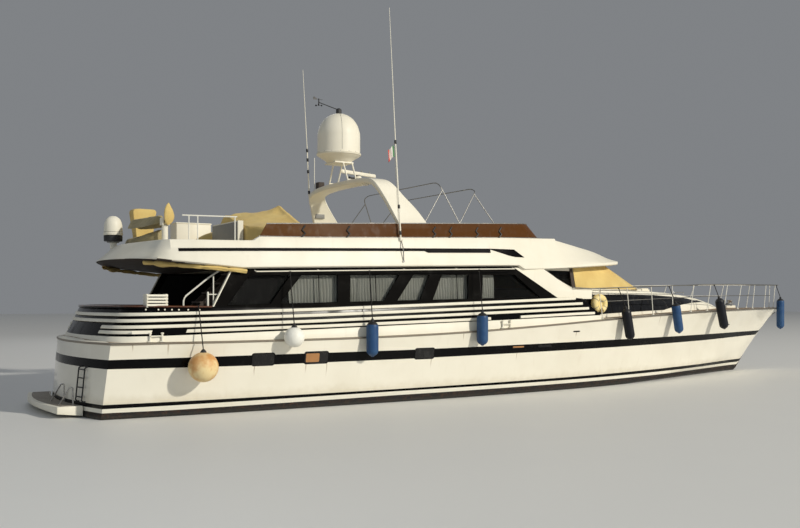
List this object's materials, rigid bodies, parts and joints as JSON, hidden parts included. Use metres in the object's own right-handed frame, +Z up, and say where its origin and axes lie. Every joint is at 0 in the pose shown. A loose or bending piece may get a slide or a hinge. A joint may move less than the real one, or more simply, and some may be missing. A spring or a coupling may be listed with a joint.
{
  "type": "motor yacht",
  "caption": "Motor yacht with a full-beam saloon under a covered flybridge, a raked radar arch with a satellite dome, a low coachroof and a bow rail.",
  "frame": {"origin": "on the waterline and the centreline, 12.6 m forward of the transom's corner, near midships", "axes": "+X to the bow, +Y to port, +Z up"},
  "size_m": [27.3, 6.7523, 11.8903],
  "materials": {
    "gelcoat": "polished cream-white gelcoat",
    "gloss_black": "polished black paint with white stripes",
    "cabin_black": "polished black paint",
    "glass": "dark tinted glass",
    "tinted": "brown tinted acrylic",
    "canvas": "tan canvas",
    "cloth": "pale pleated cloth",
    "steel": "polished stainless tube",
    "bronze": "cast bronze",
    "dark": "dark grey plastic",
    "teak": "oiled teak",
    "fender_skin": "blown vinyl",
    "buoy_yellow": "yellow vinyl"
  },
  "bodies": {
    "yacht": {"hull": "gelcoat", "bulwark": "gloss_black", "swim_platform": "gelcoat", "transom_ladder": "dark", "cabin_side_starboard": "cabin_black", "cabin_side_port": "cabin_black", "side_glass_starboard": "glass", "side_glass_port": "glass", "curtains_starboard": "cloth", "curtains_port": "cloth", "aft_bulkhead": "cabin_black", "shaft_starboard": "steel", "shaft_port": "steel", "whip_starboard": "gelcoat", "whip_port": "gelcoat", "flybridge": "gelcoat", "fly_screen": "tinted", "coachroof": "gelcoat", "wheelhouse": "gelcoat", "wheelhouse_glass": "glass", "windscreen_cover": "canvas", "radar_arch": "gelcoat", "mast_stand": "gelcoat", "satellite_dome": "gelcoat", "wind_arm": "dark", "small_dome": "gelcoat", "bimini_frame": "steel", "covered_tender": "canvas", "crane_column": "gelcoat", "fly_cabinet": "dark", "settee_cover": "canvas", "fly_helm": "gelcoat", "fly_rail": "steel", "stair": "teak", "cap_rail": "steel", "cap_locker": "gelcoat", "awning": "canvas", "cockpit_sofa": "cloth", "cockpit_table": "teak", "bow_rail": "steel", "windlass": "steel", "lifebuoy": "buoy_yellow", "fenders_aft": "fender_skin", "fender_orange_ball": "fender_skin", "fender_navy_one": "fender_skin", "fender_long_three": "fender_skin", "fender_navy_two": "fender_skin", "fender_bow": "fender_skin"},
    "propeller_starboard": {"propeller_starboard": "bronze"},
    "propeller_port": {"propeller_port": "bronze"},
    "rudder_starboard": {"rudder_starboard": "bronze"},
    "rudder_port": {"rudder_port": "bronze"},
    "radar_scanner": {"radar_scanner": "gelcoat"},
    "wind_vane": {"wind_vane": "dark"},
    "wind_cups": {"wind_cups": "dark"},
    "crane_head": {"crane_head": "gelcoat"},
    "crane_boom": {"crane_boom": "canvas"},
    "saloon_door_starboard": {"saloon_door_starboard": "steel"},
    "saloon_door_port": {"saloon_door_port": "steel"},
    "foredeck_hatch": {"foredeck_hatch": "gelcoat"}
  },
  "joints": [
    {"name": "propeller_turn_starboard", "type": "hinge", "parent": "yacht", "child": "propeller_starboard", "pos_m": [-11.4, -1.25, -1.25], "axis": [0.9903, 0, 0.1392], "continuous": true},
    {"name": "rudder_steer_starboard", "type": "hinge", "parent": "yacht", "child": "rudder_starboard", "pos_m": [-12.18, -1.25, -1], "axis": [0, 0, 1], "range_deg": [-35, 35]},
    {"name": "saloon_door_slide_starboard", "type": "slide", "parent": "yacht", "child": "saloon_door_starboard", "axis": [0, -1, 0], "range_m": [0, 0.72]},
    {"name": "propeller_turn_port", "type": "hinge", "parent": "yacht", "child": "propeller_port", "pos_m": [-11.4, 1.25, -1.25], "axis": [0.9903, 0, 0.1392], "continuous": true},
    {"name": "rudder_steer_port", "type": "hinge", "parent": "yacht", "child": "rudder_port", "pos_m": [-12.18, 1.25, -1], "axis": [0, 0, 1], "range_deg": [-35, 35]},
    {"name": "saloon_door_slide_port", "type": "slide", "parent": "yacht", "child": "saloon_door_port", "axis": [0, 1, 0], "range_m": [0, 0.72]},
    {"name": "radar_turn", "type": "hinge", "parent": "yacht", "child": "radar_scanner", "pos_m": [-4.5, 0.7, 6.3], "axis": [0, 0, 1], "continuous": true},
    {"name": "wind_vane_turn", "type": "hinge", "parent": "yacht", "child": "wind_vane", "pos_m": [-6.03, 0.18, 8.22], "axis": [0, 0, 1], "continuous": true},
    {"name": "wind_cups_turn", "type": "hinge", "parent": "yacht", "child": "wind_cups", "pos_m": [-6.03, 0.18, 8.06], "axis": [0, 0, 1], "continuous": true},
    {"name": "crane_slew", "type": "hinge", "parent": "yacht", "child": "crane_head", "pos_m": [-10.7, -0.9, 4.3], "axis": [0, 0, 1], "range_deg": [-60, 80]},
    {"name": "crane_luff", "type": "hinge", "parent": "crane_head", "child": "crane_boom", "pos_m": [-10.7, -0.9, 4.53], "axis": [0.9903, 0.1392, 0], "range_deg": [0, 60]},
    {"name": "foredeck_hatch_hinge", "type": "hinge", "parent": "yacht", "child": "foredeck_hatch", "pos_m": [5.7, 0, 2.96], "axis": [0, -1, 0], "range_deg": [0, 80]}
  ],
  "couplings": [
    {"joint": "rudder_steer_port", "follows": "rudder_steer_starboard", "ratio": 1}
  ]
}
